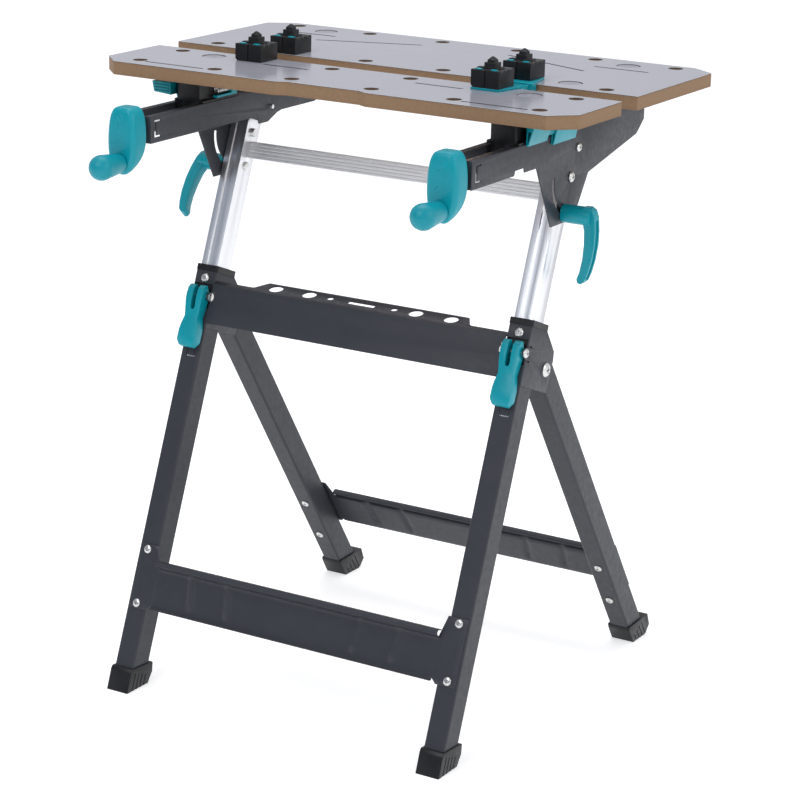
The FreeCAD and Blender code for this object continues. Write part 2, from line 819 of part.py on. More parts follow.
spacer_length = ARM_OUT - D.wall - TUBE_OUT - 0.1
spacer_profile = [(SCREW_RADIUS, 0), (8, 0), (8, spacer_length), (SCREW_RADIUS, spacer_length)]
spacer = revolve("spacer", spacer_profile)
spacer_spots = across_spots(D.pivot_y, D.pivot_z, TUBE_OUT) + across_spots(clamp_y, clamp_z, TUBE_OUT)
group("tilt_spacers", spacer, spacer_spots)


# ---------------------------------------------------------------- tilting arms


def arc_points(radius, start, end, steps):
    """Points on an arc about the origin, as (y, z), angles in degrees from +Y towards +Z."""
    points = []
    for number in range(steps + 1):
        angle = Dim.of(start + (end - start) * number / steps)
        points.append((radius * cosine(angle), radius * sine(angle)))
    return points


def arm(name, side):
    """Pressed arm, drawn from the tilt pivot: a large outer cheek, a slim inner one, both bridged."""
    body = new_body(name)
    front, back = D.arm_front - D.pivot_y, D.arm_back - D.pivot_y
    plate = D.plate_front - D.pivot_y
    top, bottom = D.arm_top - D.pivot_z, D.arm_bottom - D.pivot_z
    deck = D.table_height - D.jaw_thickness - D.pivot_z
    outer_cheek = [
        (front, top),
        (front, bottom),
        (-153, bottom),
        (-151, bottom + 6),
        (-128, bottom + 6),
        (-126, bottom),
        (-94.5, bottom),
        (-50.5, -57),
        (-13, -57),
        (24, -40),
        (49.5, -2),
        (188.5, 27.5),
        (back - 0.3, 44.5),
        (back, deck),
        (23, deck),
        (8, top),
    ]
    inner_cheek = [
        (plate, top),
        (plate, bottom),
        (-14, bottom),
        (-9, bottom - 11),
        (12, bottom - 11),
        (40, bottom + 1),
        (67, bottom + 1),
        (129, bottom + 1),
        (back - 0.3, 44.5),
        (back, deck),
        (23, deck),
        (8, top),
    ]
    half, skin = D.arm_half, D.wall
    outward = side > 0
    pad_outline(body, "YZ_Plane", outer_cheek, skin, False, not outward, (half - skin) * side)
    pad_outline(body, "XZ_Plane", box_outline(-half, half, bottom, top), skin * 2, False, True, -plate)
    pad_outline(body, "XY_Plane", box_outline(-half, half, 23, back), skin, False, True, deck)
    pad_outline(body, "YZ_Plane", inner_cheek, skin, False, outward, (skin - half) * side)
    for inner, edge in ((half - D.lip_width, half), (-half, D.lip_width - half)):
        pad_outline(body, "XY_Plane", box_outline(inner, edge, plate, 3), skin, False, True, top)
    spindle = [(0, D.spindle_z - D.pivot_z, D.neck_radius + D.running_gap)]
    cut_circles(body, "XZ_Plane", spindle, 20, True, False, -plate)
    slot_start, slot_end = 248.8, 176
    outside = arc_points(D.slot_radius + D.slot_half, slot_start + 4.2, slot_end - 4, 12)
    inside = arc_points(D.slot_radius - D.slot_half, slot_end - 4, slot_start + 4.2, 12)
    outer_face = (half - skin / 2) * side
    cut_outlines(body, "YZ_Plane", [outside + inside], 6, True, False, outer_face)
    circles = [(0, 0, SCREW_RADIUS + D.running_gap)]
    cut_circles(body, "YZ_Plane", circles, 6, True, False, outer_face)
    cut_circles(body, "YZ_Plane", [(18.6, 35.7, SCREW_RADIUS)], D.arm_half * 3)
    # a bracket-shaped slot near the front end of each cheek
    near, far, low, high = front + 9.7, front + 22.7, bottom + 6.8, bottom + 29.3
    stroke, thin = 4, 2.5
    sign = [(near, low), (far, low), (far, low + thin), (near + stroke, low + thin)]
    sign += [(near + stroke, high - thin), (far, high - thin), (far, high), (near, high)]
    for face in (outer_face, -outer_face):
        cut_outlines(body, "YZ_Plane", [sign], 6, True, False, face)
    shift = (D.cap_side - D.arm_side) * side
    holes = [(shift, row - D.pivot_y, SCREW_RADIUS) for row in (D.cap_row_middle, D.cap_row_back)]
    cut_circles(body, "XY_Plane", holes, 8, True, False, deck)
    place(body, D.arm_side * side, D.pivot_y, D.pivot_z)
    return node(body)


for word, side in SIDES:
    arm("arm_" + word, side)

cross_bolt = bolt("cross_bolt", SCREW_RADIUS, D.arm_half * 2 + 4, 5.8, 3.2)
group("arm_cross_bolts", cross_bolt, across_spots(D.pivot_y + 18.6, D.pivot_z + 35.7, ARM_OUT))


# ---------------------------------------------------------------- jaws


def jaw(name, outline, start, holes, caps):
    """A board with dog holes and shallow seats for its fixing bolts."""
    body = new_body(name)
    pad_outline(body, "XY_Plane", outline, D.jaw_thickness)
    circles = [(x, y - start, D.dog_hole_radius) for x, y in holes]
    cut_circles(body, "XY_Plane", circles, D.jaw_thickness * 3)
    seats = [(x, y - start, D.cap_radius + 0.6) for x, y in caps]
    cut_circles(body, "XY_Plane", seats, D.cap_sink, False, False, D.jaw_thickness)
    shanks = [(x, y - start, SCREW_RADIUS) for x, y in caps]
    cut_circles(body, "XY_Plane", shanks, D.jaw_thickness * 3)
    place(body, 0, start, D.table_height - D.jaw_thickness)
    return node(body)


def hole_row(y, steps):
    return [(D.dog_pitch * step, y) for step in steps]


ALL_STEPS = (-2.5, -1.5, -0.5, 0.5, 1.5, 2.5)
half = D.jaw_length / 2
inner_recess, outer_recess = D.recess_half, D.recess_half + D.recess_bevel
front_outline = [
    (-half, D.front_corner),
    (D.front_corner - half, 0),
    (-outer_recess, 0),
    (-inner_recess, D.recess_depth),
    (inner_recess, D.recess_depth),
    (outer_recess, 0),
    (half - D.front_corner, 0),
    (half, D.front_corner),
    (half, D.front_jaw_depth),
    (-half, D.front_jaw_depth),
]
rear_outline = [
    (-half, 0),
    (half, 0),
    (half, D.rear_jaw_depth - D.rear_corner_depth),
    (half - D.rear_corner_side, D.rear_jaw_depth),
    (D.rear_corner_side - half, D.rear_jaw_depth),
    (-half, D.rear_jaw_depth - D.rear_corner_depth),
]
front_caps = [(D.cap_side * side, D.cap_row_front) for word, side in SIDES]
rear_caps = [(D.cap_side * side, row) for row in (D.cap_row_middle, D.cap_row_back) for word, side in SIDES]
front_holes = hole_row(D.dog_row_front, ALL_STEPS) + hole_row(D.dog_row_second, ALL_STEPS)
rear_holes = hole_row(D.dog_row_third, ALL_STEPS) + hole_row(D.dog_row_back, ALL_STEPS)
jaw("front_jaw", front_outline, D.front_jaw_start, front_holes, front_caps)
jaw("rear_jaw", rear_outline, D.rear_jaw_start, rear_holes, rear_caps)

shank_end, cap_base = -30, -D.cap_sink
cap_profile = [(0, shank_end), (SCREW_RADIUS, shank_end), (SCREW_RADIUS, cap_base)]
cap_profile += [(D.cap_radius, cap_base), (D.cap_radius, -1.2), (D.cap_radius - 0.7, -0.7)]
cap_profile += [(2.4, -0.7), (1.6, -1.6), (0, -1.6)]
jaw_bolt = revolve("jaw_bolt", cap_profile)
seat = D.table_height
group("front_jaw_bolts", jaw_bolt, [(x, y, seat) for x, y in front_caps])
group("rear_jaw_bolts", jaw_bolt, [(x, y, seat) for x, y in rear_caps])


# ---------------------------------------------------------------- carriers, spindles, cranks

CRANK_BACK = D.arm_front - 3.6
AXLE_RADIUS = 2.5


def carrier(name, side):
    """Plastic shoe under the front jaw that runs on the arm and holds the spindle's nut."""
    body = new_body(name)
    top = D.table_height - D.jaw_thickness - D.spindle_z
    seat_low = D.arm_top - D.spindle_z + 0.3
    block, tongue = D.carrier_width / 2, D.tongue_width / 2
    neck = D.arm_half - D.lip_width - 1.2
    tongue_top = seat_low - D.wall - 0.6
    section = [
        (-tongue, -16),
        (tongue, -16),
        (tongue, tongue_top),
        (neck, tongue_top),
        (neck, seat_low),
        (block + 5.6, seat_low),
        (block + 5.6, seat_low + 3),
        (block, seat_low + 3),
        (block, top),
        (-block, top),
        (-block, seat_low + 3),
        (-block - 5.6, seat_low + 3),
        (-block - 5.6, seat_low),
        (-neck, seat_low),
        (-neck, tongue_top),
        (-tongue, tongue_top),
    ]
    pad_outline(body, "XZ_Plane", section, D.carrier_length, False, True)
    cut_circles(body, "XZ_Plane", [(0, 0, D.spindle_radius + D.running_gap)], D.carrier_length * 3)
    shift = (D.cap_side - D.arm_side) * side
    row = D.cap_row_front - D.carrier_front
    cut_circles(body, "XY_Plane", [(shift, row, SCREW_RADIUS)], 14, False, False, top)
    stud = new_sketch(body, "YZ_Plane", (block - 0.5) * side)
    add_circle(stud, D.release_y - D.carrier_front, D.release_z - D.spindle_z, D.release_pin)
    add_pad(body, stud, 14, False, side < 0)
    place(body, D.arm_side * side, D.carrier_front, D.spindle_z)
    return node(body)


def spindle(name, side):
    """Clamping screw, drawn along Z and laid along Y: a slim neck in the arm and the thread behind."""
    reach = 255 - CRANK_BACK
    neck = D.plate_front - CRANK_BACK + D.wall * 2 + 0.4
    profile = [
        (0, -20),
        (D.neck_radius, -20),
        (D.neck_radius, neck),
        (D.spindle_radius, neck),
        (D.spindle_radius, reach - 2),
        (D.spindle_radius - 1.5, reach),
        (0, reach),
    ]
    body = revolve(name, profile)
    place(body, D.arm_side * side, CRANK_BACK, D.spindle_z, X_AXIS, -90)
    return node(body)


def crank(name, side):
    """Tapered plastic crank hanging from the spindle's end, with three raised rings on its face."""
    body = new_body(name)
    drop = D.crank_knob_drop
    right = [(9, 24), (15, 20), (19, 12), (21, 0), (22, -14), (22, -36), (19, -drop - 3), (12, -drop - 12)]
    outline = [(-x, z) for x, z in right] + [(0, -drop - 16.5)] + right[::-1]
    pad_outline(body, "XZ_Plane", outline, D.crank_depth)
    depth = D.crank_depth.value
    round_edges(body, 5, lambda edge: abs(edge.BoundBox.YMax + depth) < 0.01)
    waist = [(1, -16), (1, -drop - 18), (-11, -drop - 18), (-9, -drop), (-4, -22)]
    cut_outlines(body, "YZ_Plane", [waist], 60)
    hub_length = D.plate_front - CRANK_BACK - 1
    hub = new_sketch(body, "XZ_Plane")
    add_circle(hub, 0, 0, 14)
    add_pad(body, hub, hub_length, False, True)
    for level, radius in ((11, 3.5), (-2, 5.4), (-24, 7.4)):
        sketch = new_sketch(body, "XZ_Plane", D.crank_depth)
        add_circle(sketch, 0, level, radius)
        add_circle(sketch, 0, level, radius - 0.9)
        add_pad(body, sketch, 0.5)
    bore = [(0, 0, D.neck_radius)]
    cut_circles(body, "XZ_Plane", bore, hub_length + 20, False, True, -hub_length)
    axle = new_sketch(body, "XZ_Plane", D.crank_depth)
    add_circle(axle, 0, -drop, AXLE_RADIUS)
    add_pad(body, axle, 42)
    place(body, D.arm_side * side, CRANK_BACK, D.spindle_z)
    return node(body)


def knob(name, side):
    """Capsule-shaped grip that turns on its axle."""
    radius, length = D.knob_radius, D.knob_length
    bore = AXLE_RADIUS + D.running_gap
    root = D.knob_root
    profile = [(bore, 0), (root - 1, 0), (root, 1.2), (root + 0.6, 6), (radius, length - radius)]
    for angle in (15, 30, 45, 60, 75):
        turn = Dim.of(angle)
        profile.append((radius * cosine(turn), length - radius + radius * sine(turn)))
    profile += [(0, length), (0, 45), (bore, 45)]
    body = revolve(name, profile)
    front = CRANK_BACK - D.crank_depth - 0.6
    place(body, D.arm_side * side, front, D.spindle_z - D.crank_knob_drop, X_AXIS, 90)
    return node(body)


def release_lever(name, side):
    """Finger lever on the carrier's stud: two hollow wedges, and on the left a ribbed tab in front."""
    body = new_body(name)
    near, top = D.arm_half + 0.9, 11
    front = -66 if side < 0 else -58
    bar = [(front, 2), (front, top), (20, top), (20, 4), (8, -8), (-8, -8), (-16, 2)]
    pad_outline(body, "YZ_Plane", bar, 5, False, side < 0, near * side)
    for start, end, low in ((-58, -9, -15), (9, 69, -23)):
        hull = [(near, top), (near, low), (near + 3.5, low), (near + 11, top)]
        hollow = [(near + 1.6, top - 8), (near + 1.6, low + 3), (near + 2.7, low + 3), (near + 6.6, top - 8)]
        length = end - start
        pad_outline(body, "XZ_Plane", [(x * side, z) for x, z in hull], length, False, True, -start)
        inside = [[(x * side, z) for x, z in hollow]]
        cut_outlines(body, "XZ_Plane", inside, length - 5, False, False, -start)
    if side < 0:
        tab = [(near, -5), (near + 27, -3), (near + 30, top), (near, top)]
        pad_outline(body, "XZ_Plane", [(x * side, z) for x, z in tab], 15, False, True, 79)
        for level in (-1.5, 2.5, 6.5):
            rib = box_outline((near + 3) * side, (near + 26) * side, level - 0.9, level + 0.9)
            pad_outline(body, "XZ_Plane", rib, 1.2, offset=79)
    bore = [(0, 0, D.release_pin + D.running_gap)]
    cut_circles(body, "YZ_Plane", bore, 12, True, False, (near + 2) * side)
    place(body, D.arm_side * side, D.release_y, D.release_z)
    return node(body)


for word, side in SIDES:
    carrier("carrier_" + word, side)
    spindle("spindle_" + word, side)
    crank("crank_" + word, side)
    knob("crank_knob_" + word, side)
    release_lever("release_lever_" + word, side)

release_spring = revolve("release_spring", [(2.4, 0), (4.6, 0), (4.6, 26), (2.4, 26)])
spring_x = D.arm_side - D.carrier_width / 2 - 5.2
spring_z = D.arm_top + 14
spring_spots = [(spring_x * side, 186, spring_z, X_AXIS, Dim.of(-90)) for word, side in SIDES]
group("release_springs", release_spring, spring_spots)


spring_seat = new_body("spring_seat")
seat_base = D.arm_top + 4.8
seat_back = D.table_height - D.jaw_thickness - seat_base
seat_outline = [(-2, 0), (44, 0), (44, seat_back), (32, seat_back), (32, 3), (-2, 3)]
pad_outline(spring_seat, "YZ_Plane", seat_outline, 6.6, True)
group("spring_seats", spring_seat, [((spring_x - 1.4) * side, 184, seat_base) for word, side in SIDES])


# ---------------------------------------------------------------- clamping levers


# the left lever stands loosened, swung forwards
LEFT_LEVER_SWING = -43


def tilt_lever(name, side):
    """Clamping lever on the tilt bolt: a round hub and a curved blade hanging from its outer end."""
    body = new_body(name)
    hub_start, hub_end = 1.2, 42
    sketch = new_sketch(body, "YZ_Plane", hub_start * side)
    add_circle(sketch, 0, 0, 12)
    add_pad(body, sketch, hub_end - hub_start, False, side < 0)
    blade = [
        (30, 12),
        (38, 12.5),
        (44, 9),
        (47.5, 0),
        (49, -18),
        (48.5, -36),
        (45.5, -56),
        (41, -73),
        (36.5, -84),
        (32, -88),
        (27.5, -87),
        (26, -82),
        (29.5, -73),
        (33, -56),
        (34.5, -36),
        (34, -18),
        (32, -10),
    ]
    blade = [(x * side, z) for x, z in blade]
    pad_outline(body, "XZ_Plane", blade, 14, True)
    groove = [
        (46.2, -4),
        (50, -4),
        (51, -18),
        (50.5, -36),
        (47.5, -56),
        (43, -73),
        (38, -83),
        (35.6, -81),
        (39, -72),
        (43.2, -55.5),
        (46.2, -36),
        (46.7, -18),
    ]
    groove = [(x * side, z) for x, z in groove]
    cut_outlines(body, "XZ_Plane", [groove], 8)
    bore = [(0, 0, SCREW_RADIUS + D.running_gap)]
    cut_circles(body, "YZ_Plane", bore, 28, False, side > 0, hub_start * side)
    swing = LEFT_LEVER_SWING if side < 0 else 0
    place(body, ARM_OUT * side, clamp_y, clamp_z, X_AXIS, swing)
    return node(body)


def cam_lever(name, side):
    """Clamping lever on the front of the leg: two cheeks on the pin, a waist and a broad end."""
    body = new_body(name)
    profile = [
        (3.5, 3),
        (-5, 14),
        (-9, 13),
        (-13, 8),
        (-14, -6),
        (-11, -30),
        (-12.5, -48),
        (-13, -64),
        (-10, -71),
        (-2, -72.5),
        (2.6, -66),
        (3.5, -20),
    ]
    pad_outline(body, "YZ_Plane", profile, 28, True)
    for mirror in (-1, 1):
        waist = [(12.6, 20), (12.6, -8), (10.4, -31), (13, -42), (14, -50), (14, -64), (11, -71), (11, -80)]
        waist += [(30, -80), (30, 20)]
        cut_outlines(body, "XZ_Plane", [[(x * mirror, z) for x, z in waist]], 60)
    slot = [(-3.5, 20), (-3.5, -17), (-2.2, -20.4), (2.2, -20.4), (3.5, -17), (3.5, 20)]
    cut_outlines(body, "XZ_Plane", [slot], 60)
    cut_circles(body, "YZ_Plane", [(0, 0, D.pin_radius + D.running_gap)], 60)
    place(body, D.leg_side * side, pin_y, pin_z, X_AXIS, -D.front_lean)
    return node(body)


for word, side in SIDES:
    tilt_lever("tilt_lever_" + word, side)
    cam_lever("cam_lever_" + word, side)


# ---------------------------------------------------------------- bench dogs


def dog(name, raise_by):
    """Bench dog: a peg, a square stop with a seam and V notches, and a stepped turret on top."""
    body = new_body(name)
    half, high = D.dog_block / 2, D.dog_height
    sketch = new_sketch(body, "XY_Plane", -D.dog_peg_length)
    add_circle(sketch, 0, 0, D.dog_peg_radius)
    add_pad(body, sketch, D.dog_peg_length + 2)
    stop = [(-half, 3), (3 - half, 0), (half, 0), (half, high), (-half, high)]
    pad_outline(body, "XZ_Plane", stop, half * 2, True)
    seams = []
    for mirror in (-1, 1):
        face, root = (half + 1) * mirror, (half - 1.6) * mirror
        seams.append([(-1.2, face), (1.2, face), (1.2, root), (-1.2, root)])
    cut_outlines(body, "XY_Plane", seams, high * 3)
    notches = []
    for centre in (-11, 0, 11):
        notches.append([(centre - 3.5, high + 1), (centre, high - 2.6), (centre + 3.5, high + 1)])
    cut_outlines(body, "YZ_Plane", notches, half * 3)
    pad_outline(body, "XY_Plane", box_outline(-half, half - 5, -4, 4), 4, offset=high - 3)
    pad_outline(body, "XY_Plane", box_outline(-12, 12, -8.5, 8.5), 5, offset=high - 3)
    pad_outline(body, "XY_Plane", box_outline(-7.8, 7.8, -7.8, 7.8), 11, offset=high - 3)
    turret = D.dog_turret - 7
    pad_outline(body, "XY_Plane", box_outline(-5, 5, -5, 5), turret, offset=high + 7)
    peak = (high + D.dog_turret).value
    tip = body.Tip
    rim = ["Edge%d" % (i + 1) for i, e in enumerate(tip.Shape.Edges) if abs(e.BoundBox.ZMin - peak) < 0.01]
    chamfer = body.newObject("PartDesign::Chamfer", name + "_chamfer")
    chamfer.Base = (tip, rim)
    bind(chamfer, "Size", 4)
    doc.recompute()
    return body, D.table_height + raise_by


insert = new_body("dog_insert")
pad_outline(insert, "XY_Plane", box_outline(-4, 4, -3, 3), 1.2)

DOGS = (
    ("front_left", -1, D.dog_row_second, 0),
    ("rear_left", -1, D.dog_row_third, 0),
    ("front_right", 1, D.dog_row_second, D.plate_thickness),
    ("rear_right", 1, D.dog_row_third, D.plate_thickness),
)
for word, side, row, lift in DOGS:
    body, height = dog("dog_" + word, lift)
    place(body, D.dog_pitch * 1.5 * side, row, height)
    node(body)
    spots = []
    for step in (-11, 11):
        spots.append((D.dog_pitch * 1.5 * side + step, row - 15.5, height + D.dog_height))
    group("dog_inserts_" + word, insert, spots)


def clamp_plate(name, row, away):
    """Coloured clamping plate under a dog: it widens towards the gap and ends in a hanging lip."""
    body = new_body(name)
    edge = 36.6
    outline = [(-20, 20 * away), (20, 20 * away), (32, -edge * away), (-32, -edge * away)]
    pad_outline(body, "XY_Plane", outline, D.plate_thickness)
    lip_back = -edge * away + 14 * away
    lip = box_outline(-31, 31, -edge * away, lip_back)
    pad_outline(body, "XY_Plane", lip, D.plate_lip, False, True)
    cut_circles(body, "XY_Plane", [(0, 0, D.dog_hole_radius)], 40)
    place(body, D.dog_pitch * 1.5, row, D.table_height)
    return node(body)


clamp_plate("clamp_plate_front", D.dog_row_second, -1)
clamp_plate("clamp_plate_rear", D.dog_row_third, 1)

# ---------------------------------------------------------------- checks and output

doc.recompute()
for item in doc.Objects:
    if "Invalid" in item.State or "Error" in item.State:
        raise RuntimeError("%s is %s" % (item.Name, item.State))
for item in NODES:
    if item.Shape.isNull() or not item.Shape.isValid():
        raise RuntimeError("%s has a bad shape" % item.Label)
os.makedirs("parts", exist_ok=True)
for item in NODES:
    item.Shape.exportStep("parts/%s.step" % item.Label)
print(len(NODES), "nodes")
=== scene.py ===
import json
import math

import bmesh
import bpy
from mathutils import Matrix, Vector


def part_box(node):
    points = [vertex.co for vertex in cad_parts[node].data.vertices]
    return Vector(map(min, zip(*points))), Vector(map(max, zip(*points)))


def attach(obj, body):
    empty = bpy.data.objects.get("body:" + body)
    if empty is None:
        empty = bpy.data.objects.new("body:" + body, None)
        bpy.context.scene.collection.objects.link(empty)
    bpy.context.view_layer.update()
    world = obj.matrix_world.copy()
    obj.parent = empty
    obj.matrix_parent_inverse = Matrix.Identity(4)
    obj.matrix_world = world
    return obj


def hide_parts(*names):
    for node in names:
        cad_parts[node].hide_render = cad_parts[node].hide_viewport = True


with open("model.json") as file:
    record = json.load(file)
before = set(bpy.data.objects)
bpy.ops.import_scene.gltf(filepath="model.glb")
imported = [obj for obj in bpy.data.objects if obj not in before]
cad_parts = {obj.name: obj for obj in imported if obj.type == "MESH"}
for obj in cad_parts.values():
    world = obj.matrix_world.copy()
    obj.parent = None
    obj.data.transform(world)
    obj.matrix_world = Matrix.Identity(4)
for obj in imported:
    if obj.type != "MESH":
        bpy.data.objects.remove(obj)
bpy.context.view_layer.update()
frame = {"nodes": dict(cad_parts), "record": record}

MM = 0.001
SIDES = (("left", -1), ("right", 1))
FRONT_LEAN = math.radians(20.76)
REAR_LEAN = math.radians(34.6)


# ---------------------------------------------------------------- camera, floor and light

CAMERA_PLACE = Vector((1.7414, -2.9234, 1.4010))
CAMERA_AZIMUTH = math.radians(31.03)
CAMERA_ELEVATION = math.radians(15.72)
CAMERA_ROLL = math.radians(1.26)
CAMERA_LENS = 118.07
CAMERA_SHIFT = (0.0332, -0.052)

# colours of the light that comes from in front of, behind, beside and above the bench
STUDIO_FRONT = (0.22, 0.25, 0.31)
STUDIO_BACK = (0.62, 0.62, 0.65)
STUDIO_SIDE = (0.95, 0.95, 0.96)
STUDIO_TOP = (0.70, 0.71, 0.74)

# name, place, the point that it faces, width in metres and power in watts
LAMPS = (
    ("side_softbox", (3.4, -0.2, 2.2), (0, 0, 0.5), 2.0, 16),
    ("top_softbox", (-0.4, 0.4, 3.6), (0, 0, 0.6), 2.4, 42),
    ("front_fill", (-0.5, -3.2, 3.0), (0, 0, 0.5), 1.8, 44),
)
FLOOR_HALF = 9
PAPER_GLOW = 0.5


def make_camera():
    """A long lens, to the right of the bench and a little above the table."""
    turn, rise = CAMERA_AZIMUTH, CAMERA_ELEVATION
    back = Vector((math.sin(turn) * math.cos(rise), -math.cos(turn) * math.cos(rise), math.sin(rise)))
    level = Vector((math.cos(turn), math.sin(turn), 0))
    upward = back.cross(level)
    right = level * math.cos(CAMERA_ROLL) + upward * math.sin(CAMERA_ROLL)
    above = back.cross(right)
    data = bpy.data.cameras.new("camera")
    data.lens = CAMERA_LENS
    data.sensor_width = 36
    data.shift_x, data.shift_y = CAMERA_SHIFT
    data.clip_end = 50
    camera = bpy.data.objects.new("camera", data)
    turned = Matrix((right, above, back)).transposed().to_4x4()
    camera.matrix_world = Matrix.Translation(CAMERA_PLACE) @ turned
    bpy.context.scene.collection.objects.link(camera)
    bpy.context.scene.camera = camera


def soft_light(name, place, aim, width, power):
    """A large square lamp at place that faces aim."""
    data = bpy.data.lights.new(name, "AREA")
    data.shape = "SQUARE"
    data.size = width
    data.energy = power
    lamp = bpy.data.objects.new(name, data)
    lamp.location = place
    lamp.rotation_euler = (Vector(aim) - Vector(place)).to_track_quat("-Z", "Y").to_euler()
    bpy.context.scene.collection.objects.link(lamp)


def make_world():
    """White behind the bench; for everything else bright behind and beside it, darker in front."""
    world = bpy.data.worlds.new("studio")
    world.use_nodes = True
    nodes, links = world.node_tree.nodes, world.node_tree.links
    direction = nodes.new("ShaderNodeSeparateXYZ")
    links.new(nodes.new("ShaderNodeTexCoord").outputs["Generated"], direction.inputs[0])

    def choose(factor, first, second):
        """The first colour where factor is 0 and the second where it is 1."""
        node = nodes.new("ShaderNodeMix")
        node.data_type = "RGBA"
        links.new(factor, node.inputs["Factor"])
        for socket, value in ((node.inputs[6], first), (node.inputs[7], second)):
            if isinstance(value, tuple):
                socket.default_value = (*value, 1)
            else:
                links.new(value, socket)
        return node.outputs[2]

    def blend(axis, start, end, below, above):
        """A colour that turns from below to above as one part of the direction passes start to end."""
        share = nodes.new("ShaderNodeMapRange")
        share.interpolation_type = "SMOOTHSTEP"
        links.new(direction.outputs[axis], share.inputs["Value"])
        share.inputs["From Min"].default_value = start
        share.inputs["From Max"].default_value = end
        return choose(share.outputs["Result"], below, above)

    depth = blend("Y", -0.75, 0.35, STUDIO_FRONT, STUDIO_BACK)
    side = blend("X", 0.25, 0.9, depth, STUDIO_SIDE)
    above = blend("Z", 0.45, 0.95, side, STUDIO_TOP)
    seen = nodes.new("ShaderNodeLightPath").outputs["Is Camera Ray"]
    links.new(choose(seen, above, (1.0, 1.0, 1.0)), nodes["Background"].inputs["Color"])
    bpy.context.scene.world = world


def make_studio():
    """Lamps, the light from all round and a sheet of pale paper that glows a little."""
    make_world()
    bpy.context.scene.view_settings.view_transform = "Standard"
    for lamp in LAMPS:
        soft_light(*lamp)
    mesh = bpy.data.meshes.new("floor")
    signs = ((-1, -1), (1, -1), (1, 1), (-1, 1))
    corners = [(x * FLOOR_HALF, y * FLOOR_HALF, 0) for x, y in signs]
    mesh.from_pydata(corners, [], [(0, 1, 2, 3)])
    floor = bpy.data.objects.new("floor", mesh)
    bpy.context.scene.collection.objects.link(floor)
    paper = Finish("studio_paper", (0.80, 0.80, 0.80), 0.8)
    paper.speckle(40, 0.02)
    paper.shader.inputs["Emission Color"].default_value = (1, 1, 1, 1)
    paper.shader.inputs["Emission Strength"].default_value = PAPER_GLOW
    floor.data.materials.append(paper.material)


# ---------------------------------------------------------------- finishes


class Finish:
    """A procedural material built round one principled shader."""

    def __init__(self, name, colour, roughness, metallic=0.0, gloss=0.5):
        self.material = bpy.data.materials.new(name)
        self.material.use_nodes = True
        self.tree = self.material.node_tree
        self.shader = self.tree.nodes["Principled BSDF"]
        self.shader.inputs["Metallic"].default_value = metallic
        self.shader.inputs["Roughness"].default_value = roughness
        self.shader.inputs["Specular IOR Level"].default_value = gloss
        self.colour = (*colour, 1)
        self.shader.inputs["Base Color"].default_value = self.colour
        coordinates = self.add("ShaderNodeTexCoord")
        self.place = coordinates.outputs["Object"]
        self.facing = coordinates.outputs["Normal"]

    def add(self, kind, settings=None, **sockets):
        """A new node; settings are its own properties, sockets its inputs with _ for each space."""
        node = self.tree.nodes.new(kind)
        for name, value in (settings or {}).items():
            setattr(node, name, value)
        for name, value in sockets.items():
            self.feed(node.inputs[name.replace("_", " ")], value)
        return node

    def feed(self, socket, value):
        if isinstance(value, bpy.types.NodeSocket):
            self.tree.links.new(value, socket)
        else:
            socket.default_value = value

    def noise(self, scale, detail=2.0, place=None):
        node = self.add("ShaderNodeTexNoise", Vector=place or self.place, Scale=scale, Detail=detail)
        return node.outputs["Fac"]

    def remap(self, value, low, high, to_low, to_high):
        node = self.add("ShaderNodeMapRange", Value=value, From_Min=low, From_Max=high)
        self.feed(node.inputs["To Min"], to_low)
        self.feed(node.inputs["To Max"], to_high)
        return node.outputs["Result"]

    def maths(self, operation, first, second=0.0):
        node = self.add("ShaderNodeMath", {"operation": operation})
        self.feed(node.inputs[0], first)
        self.feed(node.inputs[1], second)
        return node.outputs[0]

    def mix(self, factor, first, second):
        node = self.add("ShaderNodeMix", {"data_type": "RGBA"})
        self.feed(node.inputs["Factor"], factor)
        for socket, value in ((node.inputs[6], first), (node.inputs[7], second)):
            self.feed(socket, (*value, 1) if isinstance(value, tuple) and len(value) == 3 else value)
        return node.outputs[2]

    def parts(self, vector):
        return self.add("ShaderNodeSeparateXYZ", Vector=vector).outputs

    def along(self, lean, stretch):
        """Coordinates turned by lean about X, then squeezed by the three factors of stretch."""
        turned = self.add("ShaderNodeMapping", Vector=self.place)
        turned.inputs["Rotation"].default_value = (lean, 0, 0)
        squeezed = self.add("ShaderNodeMapping", Vector=turned.outputs["Vector"])
        squeezed.inputs["Scale"].default_value = stretch
        return squeezed.outputs["Vector"]

    def set_colour(self, socket):
        self.feed(self.shader.inputs["Base Color"], socket)

    def set_roughness(self, socket):
        self.feed(self.shader.inputs["Roughness"], socket)

    def relief(self, height, depth, strength=1.0, rounding=0.0):
        """Fine bumps of the given depth in metres, on edges that look rounded by rounding."""
        node = self.add("ShaderNodeBump", Strength=strength, Distance=depth, Height=height)
        if rounding:
            soft = self.add("ShaderNodeBevel", {"samples": 4}, Radius=rounding)
            self.feed(node.inputs["Normal"], soft.outputs["Normal"])
        self.feed(self.shader.inputs["Normal"], node.outputs["Normal"])

    def edges(self, radius):
        """1 on sharp edges and 0 on flat faces."""
        soft = self.add("ShaderNodeBevel", {"samples": 4}, Radius=radius).outputs["Normal"]
        true = self.add("ShaderNodeNewGeometry").outputs["True Normal"]
        product = self.add("ShaderNodeVectorMath", {"operation": "DOT_PRODUCT"})
        self.feed(product.inputs[0], soft)
        self.feed(product.inputs[1], true)
        return self.remap(product.outputs["Value"], 1.0, 0.8, 0.0, 1.0)

    def speckle(self, scale, amount):
        """Let the colour drift lighter and darker by amount."""
        shade = self.noise(scale, 3)
        light = tuple(min(1, c * (1 + amount)) for c in self.colour[:3])
        dark = tuple(c * (1 - amount) for c in self.colour[:3])
        self.set_colour(self.mix(shade, dark, light))


